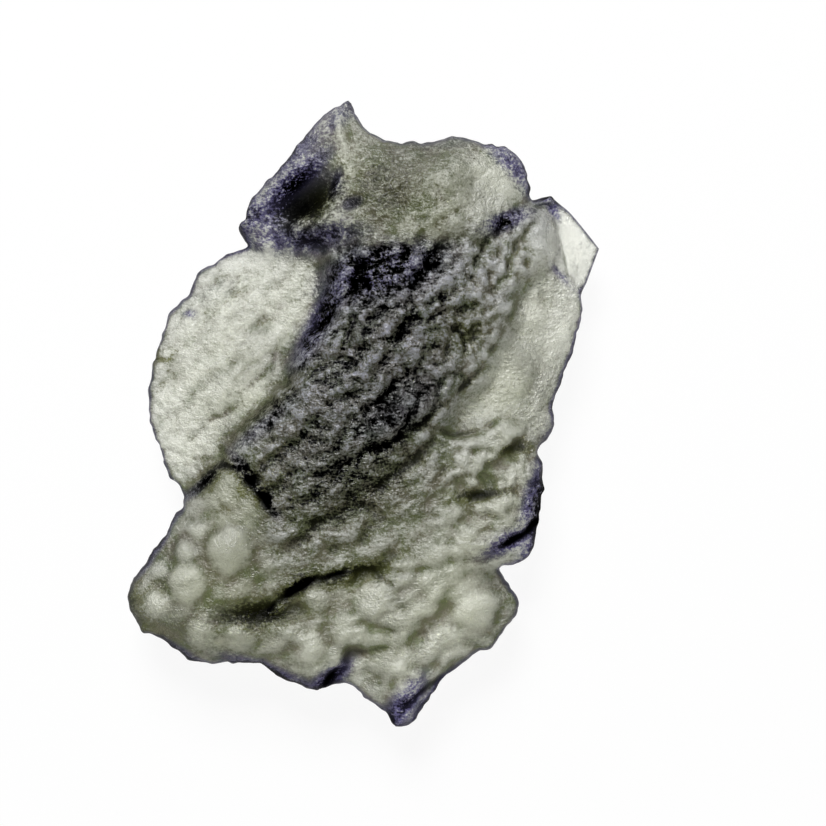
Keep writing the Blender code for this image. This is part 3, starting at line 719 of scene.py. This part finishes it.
def join_sheets(name, top, under):
    """One closed mesh from two grids of points that share their rim, facing outwards."""
    rows, columns = top.shape[:2]
    index = np.arange(rows * columns).reshape(rows, columns)
    lower = index.copy()
    inner = (slice(1, -1), slice(1, -1))
    count = (rows - 2) * (columns - 2)
    lower[inner] = rows * columns + np.arange(count).reshape(rows - 2, columns - 2)
    quads = []
    for grid, order in ((index, (0, 1, 2, 3)), (lower, (3, 2, 1, 0))):
        corners = [grid[:-1, :-1], grid[:-1, 1:], grid[1:, 1:], grid[1:, :-1]]
        quads.append(np.stack([corners[k] for k in order], axis=-1).reshape(-1, 4))
    points = np.vstack([top.reshape(-1, 3), under[inner].reshape(-1, 3)])
    mesh = bpy.data.meshes.new(name)
    mesh.vertices.add(len(points))
    mesh.vertices.foreach_set("co", (points * UNIT).ravel().astype(np.float32))
    faces = np.vstack(quads)
    mesh.loops.add(faces.size)
    mesh.loops.foreach_set("vertex_index", faces.ravel().astype(np.int32))
    mesh.polygons.add(len(faces))
    mesh.polygons.foreach_set("loop_start", np.arange(0, faces.size, 4, dtype=np.int32))
    mesh.update(calc_edges=True)
    mesh.shade_smooth()
    return mesh


def mark_surface(mesh, marks):
    """Stores the marks at every vertex: those of the top sheet, then of the inner part of the under one."""
    top, under = marks
    for name in top:
        values = np.concatenate([top[name].ravel(), under[name][1:-1, 1:-1].ravel()])
        mesh.attributes.new(name, "FLOAT", "POINT").data.foreach_set("value", values.astype(np.float32))


class Field:
    """A value that changes over a surface: a shader socket whose arithmetic adds Math nodes."""

    def __init__(self, tree, socket=None):
        self.tree = tree
        self.socket = socket

    def node(self, kind, inputs, output=0, **settings):
        """Adds a node, sets it up, fills its sockets with numbers or links, and returns one output."""
        made = self.tree.nodes.new(kind)
        for name, value in settings.items():
            setattr(made, name, value)
        for socket, value in inputs.items():
            if isinstance(value, Field):
                self.tree.links.new(value.socket, made.inputs[socket])
            else:
                made.inputs[socket].default_value = value
        return Field(self.tree, made.outputs[output])

    def math(self, operation, *values):
        return self.node("ShaderNodeMath", dict(enumerate(values)), operation=operation)

    def __add__(self, other):
        return self.math("ADD", self, other)

    __radd__ = __add__

    def __sub__(self, other):
        return self.math("SUBTRACT", self, other)

    def __rsub__(self, other):
        return self.math("SUBTRACT", other, self)

    def __mul__(self, other):
        return self.math("MULTIPLY", self, other)

    __rmul__ = __mul__

    def stretch(self, low, high, start=0.0, end=1.0):
        """The value moved from one range to another, and held within it."""
        inputs = {"Value": self, "From Min": low, "From Max": high, "To Min": start, "To Max": end}
        return self.node("ShaderNodeMapRange", inputs, clamp=True)

    def mix(self, start, end):
        """A colour between two colours, at this share."""
        return self.node("ShaderNodeMix", {0: self, 6: start, 7: end}, output=2, data_type="RGBA")


BROWN = (0.15, 0.13, 0.09, 1.0)
GREEN = (0.1, 0.125, 0.045, 1.0)
PIT_DEPTH = 0.14  # of the skin's finest pits, which only the shading shows

# What is stored on every vertex for the finish to read
MARKS = (
    "ridge", "smoke_and_shade", "clear_and_highlights", "olive", "rim", "tuck", "shaded_crease", "crown", "lower", "dome", "wing", "chip",
    "up", "steep", "dip", "nook",
)


def glass_finish(settings):
    """Clear green glass with an etched skin. Inside it only absorbs. The skin is rough and finely pitted.
    Its colour is darker on the thick ridge and where the glass is smoky, and carries painted shade in
    the hollows, dips, nooks, creases and folds, on steep slopes, under each scale's overhanging edge
    and along the rim, and painted highlights on the dome tops and glints. The dark tint is violet in
    the smoky places, olive where deep glass lets light through, and brown or green elsewhere. Where
    the painted shade is deepest, black is mixed into the colour and a black shader is mixed in as a
    painted shadow."""
    material = bpy.data.materials.new("moldavite_glass")
    material.use_nodes = True
    tree = material.node_tree
    glass = tree.nodes["Principled BSDF"]
    glass.inputs["Transmission Weight"].default_value = settings.clarity
    glass.inputs["IOR"].default_value = settings.ior
    base = Field(tree)
    ridge, smoke_and_shade, clear_and_highlights, olive, rim, tuck, shaded_crease, crown, lower, dome, wing, chip, up, steep, dip, nook = (
        base.node("ShaderNodeAttribute", {}, output="Fac", attribute_name=name) for name in MARKS
    )
    place = base.node("ShaderNodeTexCoord", {}, output="Object")
    flow_turn = base.node(
        "ShaderNodeMapping",
        {"Vector": place, "Rotation": (0.0, 0.0, -0.5), "Scale": (0.8 / UNIT, 2.2 / UNIT, 1.4 / UNIT)},
    )

    def clouds(where, scale, detail, roughness=0.5):
        """Noise from 0 to 1 over the stone."""
        inputs = {"Vector": where, "Scale": scale, "Detail": detail, "Roughness": roughness}
        return base.node("ShaderNodeTexNoise", inputs)

    wide = clouds(place, 0.45 / UNIT, 3.0)
    hue = clouds(place, 0.9 / UNIT, 4.0, 0.7)
    fine = clouds(place, 3.5 / UNIT, 4.0)
    speck = clouds(place, 5.5 / UNIT, 2.0, 0.8)
    dust = clouds(place, 9.0 / UNIT, 1.0)
    blotch = clouds(flow_turn, 1.3, 3.0, 0.6)
    grain = clouds(flow_turn, 1.6, 4.0, 0.7)
    streak = clouds(flow_turn, 3.6, 3.0)
    seam = base.math("ABSOLUTE", hue - 0.5)

    top_side = up.stretch(-0.2, 0.2)
    rugged = (ridge + smoke_and_shade * 0.7).stretch(0.0, 1.0)
    mottle = (speck - 0.5) * 2.8 + (dust - 0.5) * 1.4 + (streak - 0.5) * 2.0 + (fine - 0.5) * 1.0
    mottled = 0.24 + rugged * 0.45 + smoke_and_shade * 0.3 + wing * 0.05 + crown * 0.18 - lower * 0.06
    # The skin is painted darker on the ridge and in the smoky and painted-shade patches, lighter in the
    # clear ones
    dark = ridge * settings.ridge_smoke + smoke_and_shade * 0.95 + olive * 0.3 - clear_and_highlights * 0.6
    dark = dark + crown * 0.15 + lower * 0.16 + 0.22
    # Painted shade under each scale's overhanging upper edge, and painted highlights on the dome tops
    dark = dark + tuck * (0.4 - ridge * 0.1 - lower * 0.05) - dome * 0.85
    # Painted shade: a dark line along the rim for the dark refracting edge, and darker creases
    dark = dark + rim * (1.3 + (grain - 0.5) * 4.0) + shaded_crease.stretch(0.0, 0.25) * 0.6
    # Steep slopes painted darker: painted shade for the light that steep facets turn away
    dark = dark + steep.stretch(0.03, 0.5) * 0.2
    # Painted shade in dips and nooks, and painted light on the rises between them
    dark = dark + dip.stretch(-0.45, 0.45, -0.35, 0.4) * (1 + lower * 0.3 - wing * 0.9 - ridge * 0.3)
    dark = dark + nook.stretch(-0.1, 0.1, -0.25, 0.35) * (1 - wing * 0.2 - lower * 0.2 - ridge * 0.3)
    dark = dark + (blotch.stretch(0.5, 0.7) - 0.35) * (ridge * 0.45 + smoke_and_shade * 0.3)
    dark = dark + mottle * mottled
    dark = dark + (seam.stretch(0.0, 0.025, 1.0, 0.0) * grain.stretch(0.35, 0.65) - 0.1) * (wing * 0.45)
    dark = dark + (wide - 0.5) * (0.6 + lower * 0.4 + crown * 0.3)
    under_share = 0.25 + (1 - top_side) * rim * 0.5
    dark = (dark - wing * 0.1 - chip * 0.7) * (top_side * 0.75 + under_share)

    violet = (smoke_and_shade - olive + ridge * 0.15 + rim * 0.6).stretch(0.1, 0.7)
    dark_tone_and_shade = hue.stretch(0.4, 0.6).mix(BROWN, GREEN)
    dark_tone_and_shade = violet.mix(dark_tone_and_shade, (*settings.dark, 1.0))
    dark_tone_and_shade = olive.mix(dark_tone_and_shade, (*settings.olive, 1.0))
    clean = ridge.mix((*settings.pale, 1.0), (*settings.glint, 1.0))
    deep = (0.2 + rugged + shaded_crease * 0.5 + rim * 0.2).stretch(0.0, 1.0)
    # From the clean tint to the dark tint with its painted shade, then to black, a painted shadow, where
    # deepest
    colour = (dark.stretch(0.5, 1.2) * deep).mix(dark.stretch(0.0, 0.8).mix(clean, dark_tone_and_shade), BLACK)
    tree.links.new(colour.socket, glass.inputs["Base Color"])
    rough = settings.roughness + crown * 0.05 - chip * 0.15 + (fine - 0.5) * 0.2
    tree.links.new(rough.stretch(0.03, 0.6, 0.03, 0.6).socket, glass.inputs["Roughness"])
    height = fine * 0.9 + grain * 0.8 + speck * 1.1
    bump = base.node(
        "ShaderNodeBump", {"Height": height, "Strength": 0.8, "Distance": PIT_DEPTH * UNIT}
    )
    tree.links.new(bump.socket, glass.inputs["Normal"])

    # A black shader that lets no light through, mixed in where the painted shade is deepest: a painted
    # shadow
    shade = tree.nodes.new("ShaderNodeBsdfPrincipled")
    shade.inputs["Base Color"].default_value = BLACK
    shade.inputs["Roughness"].default_value = 1.0
    shade.inputs["Specular IOR Level"].default_value = 0.0
    skin = tree.nodes.new("ShaderNodeMixShader")
    tree.links.new((dark.stretch(1.0, 1.5) * deep).socket, skin.inputs["Fac"])
    tree.links.new(glass.outputs["BSDF"], skin.inputs[1])
    tree.links.new(shade.outputs["BSDF"], skin.inputs[2])
    tree.links.new(skin.outputs["Shader"], tree.nodes["Material Output"].inputs["Surface"])

    inside = tree.nodes.new("ShaderNodeVolumeAbsorption")
    inside.inputs["Color"].default_value = (*settings.inner, 1.0)
    inside.inputs["Density"].default_value = settings.density
    tree.links.new(inside.outputs["Volume"], tree.nodes["Material Output"].inputs["Volume"])
    return material


class StoneSettings(bpy.types.PropertyGroup):
    cells: bpy.props.IntVectorProperty(
        name="Cells", description="Cells of the surface grid, across and along the stone", size=2,
        default=(164, 300), min=20,
    )
    ior: bpy.props.FloatProperty(
        name="Index of refraction", description="How strongly the glass bends light", default=1.49, min=1.0,
    )
    roughness: bpy.props.FloatProperty(
        name="Roughness", description="How etched the glass's skin is", default=0.33, min=0.0, max=1.0,
        subtype="FACTOR",
    )
    clarity: bpy.props.FloatProperty(
        name="Clarity", description="Share of the light that passes the skin into the glass", default=0.9,
        min=0.0, max=1.0, subtype="FACTOR",
    )
    ridge_smoke: bpy.props.FloatProperty(
        name="Ridge smoke", description="How dark the thick ridge is", default=0.68, min=0.0,
    )
    pale: bpy.props.FloatVectorProperty(
        name="Skin", description="Tint of the clean skin", size=3, default=(0.96, 0.97, 0.91),
        subtype="COLOR",
    )
    glint: bpy.props.FloatVectorProperty(
        name="Glint", description="Tint of the clean skin on the thick ridge", size=3,
        default=(0.7, 0.7, 1.0), subtype="COLOR",
    )
    # Tint of the smoky places and of the painted shade in them
    dark: bpy.props.FloatVectorProperty(
        name="Smoke", description="Tint of the skin in the smoky places", size=3,
        default=(0.07, 0.055, 0.3), subtype="COLOR",
    )
    olive: bpy.props.FloatVectorProperty(
        name="Olive", description="Tint of the skin in the olive places", size=3,
        default=(0.09, 0.1, 0.012), subtype="COLOR",
    )
    inner: bpy.props.FloatVectorProperty(
        name="Glass", description="Colour that the glass turns white light into", size=3,
        default=(0.38, 0.4, 0.17), subtype="COLOR",
    )
    density: bpy.props.FloatProperty(
        name="Density", description="How quickly the glass takes up light, per metre", default=230.0,
        min=0.0,
    )


class StageSettings(bpy.types.PropertyGroup):
    floor_size: bpy.props.FloatProperty(
        name="Floor", description="Width of the floor", default=1.2, unit="LENGTH",
    )
    floor_glow: bpy.props.FloatProperty(
        name="Floor glow", description="Light that the pale floor gives off", default=0.93, min=0.0,
    )
    sky: bpy.props.FloatProperty(
        name="Surroundings", description="Brightness of the room around the stone", default=0.05, min=0.0,
    )
    lamp_power: bpy.props.FloatProperty(
        name="Lamp", description="Power of the soft lamp overhead", default=7.0, min=0.0, unit="POWER",
    )
    lamp_size: bpy.props.FloatProperty(
        name="Lamp size", description="Width of the lamp", default=0.25, min=0.0, unit="LENGTH",
    )
    lamp_place: bpy.props.FloatVectorProperty(
        name="Lamp place", description="Where the lamp hangs", size=3, default=(-0.08, 0.38, 0.36),
        subtype="TRANSLATION",
    )
    lamp_turn: bpy.props.FloatVectorProperty(
        name="Lamp turn", description="How the lamp is turned to the stone", size=3,
        default=(-0.81, -0.15, 0.0), subtype="EULER",
    )
    view_width: bpy.props.FloatProperty(
        name="View width", description="Width of what the camera sees at the stone", default=39.58 * UNIT,
        unit="LENGTH",
    )
    lens: bpy.props.FloatProperty(
        name="Lens", description="Focal length of the camera", default=90.0, min=1.0,
    )


class MOLDAVITE_OT_stone(bpy.types.Operator):
    """Sculpt the stone and give it its glass"""

    bl_idname = "moldavite.stone"
    bl_label = "Stone"

    def execute(self, context):
        settings = context.scene.moldavite_stone
        across, along = settings.cells
        u, v = np.meshgrid(np.linspace(0, 1, across + 1), np.linspace(0, 1, along + 1), indexing="ij")
        top, under, marks = stone_surface(u, v)
        mesh = join_sheets("stone", top, under)
        mark_surface(mesh, marks)
        mesh.materials.append(glass_finish(settings))
        stone = bpy.data.objects.new("stone", mesh)
        context.scene.collection.objects.link(stone)
        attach(stone, "root")
        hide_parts("moldavite")
        return {"FINISHED"}


class MOLDAVITE_OT_stage(bpy.types.Operator):
    """Lay the floor, hang the lamp and set up the camera"""

    bl_idname = "moldavite.stage"
    bl_label = "Stage"

    def execute(self, context):
        scene = context.scene
        settings = scene.moldavite_stage

        half = settings.floor_size / 2
        mesh = bpy.data.meshes.new("floor")
        level = LOW.z - FLOOR_GAP * UNIT
        mesh.from_pydata(
            [(-half, -half, level), (half, -half, level), (half, half, level), (-half, half, level)],
            [], [(0, 1, 2, 3)],
        )
        material = bpy.data.materials.new("floor")
        material.use_nodes = True
        shader = material.node_tree.nodes["Principled BSDF"]
        shader.inputs["Base Color"].default_value = FLOOR_GREY
        shader.inputs["Roughness"].default_value = 1.0
        shader.inputs["Specular IOR Level"].default_value = 0.0
        shader.inputs["Emission Color"].default_value = WHITE
        shader.inputs["Emission Strength"].default_value = settings.floor_glow
        mesh.materials.append(material)
        floor = bpy.data.objects.new("floor", mesh)
        scene.collection.objects.link(floor)

        world = bpy.data.worlds.new("room")
        world.use_nodes = True
        world.node_tree.nodes["Background"].inputs["Color"].default_value = WHITE
        world.node_tree.nodes["Background"].inputs["Strength"].default_value = settings.sky
        scene.world = world

        lamp = bpy.data.lights.new("lamp", "AREA")
        lamp.size = settings.lamp_size
        lamp.energy = settings.lamp_power
        lamp_object = bpy.data.objects.new("lamp", lamp)
        lamp_object.location = settings.lamp_place
        lamp_object.rotation_euler = settings.lamp_turn
        scene.collection.objects.link(lamp_object)

        camera = bpy.data.cameras.new("camera")
        camera.lens = settings.lens
        camera_object = bpy.data.objects.new("camera", camera)
        middle = (LOW + HIGH) / 2
        distance = settings.view_width / 2 / (camera.sensor_width / 2 / camera.lens)
        camera.clip_start = distance / 100
        camera_object.location = (
            middle.x + VIEW_OFFSET[0] * UNIT,
            middle.y + VIEW_OFFSET[1] * UNIT,
            LOW.z + VIEW_HEIGHT * UNIT + distance,
        )
        scene.collection.objects.link(camera_object)
        scene.camera = camera_object
        scene.view_settings.view_transform = "Standard"
        return {"FINISHED"}


class MOLDAVITE_PT_panel(bpy.types.Panel):
    bl_idname = "MOLDAVITE_PT_panel"
    bl_label = "Moldavite"
    bl_space_type = "VIEW_3D"
    bl_region_type = "UI"
    bl_category = "Moldavite"

    def draw(self, context):
        scene = context.scene
        groups = ((MOLDAVITE_OT_stone, scene.moldavite_stone), (MOLDAVITE_OT_stage, scene.moldavite_stage))
        for operator, settings in groups:
            box = self.layout.box()
            for key in settings.bl_rna.properties.keys():
                if key not in ("rna_type", "name"):
                    box.prop(settings, key)
            box.operator(operator.bl_idname)


CLASSES = (StoneSettings, StageSettings, MOLDAVITE_OT_stone, MOLDAVITE_OT_stage, MOLDAVITE_PT_panel)


def register():
    for cls in CLASSES:
        bpy.utils.register_class(cls)
    bpy.types.Scene.moldavite_stone = bpy.props.PointerProperty(type=StoneSettings)
    bpy.types.Scene.moldavite_stage = bpy.props.PointerProperty(type=StageSettings)


def unregister():
    del bpy.types.Scene.moldavite_stage
    del bpy.types.Scene.moldavite_stone
    for cls in reversed(CLASSES):
        bpy.utils.unregister_class(cls)


def main():
    register()
    bpy.ops.moldavite.stone()
    bpy.ops.moldavite.stage()


if __name__ == "__main__":
    main()
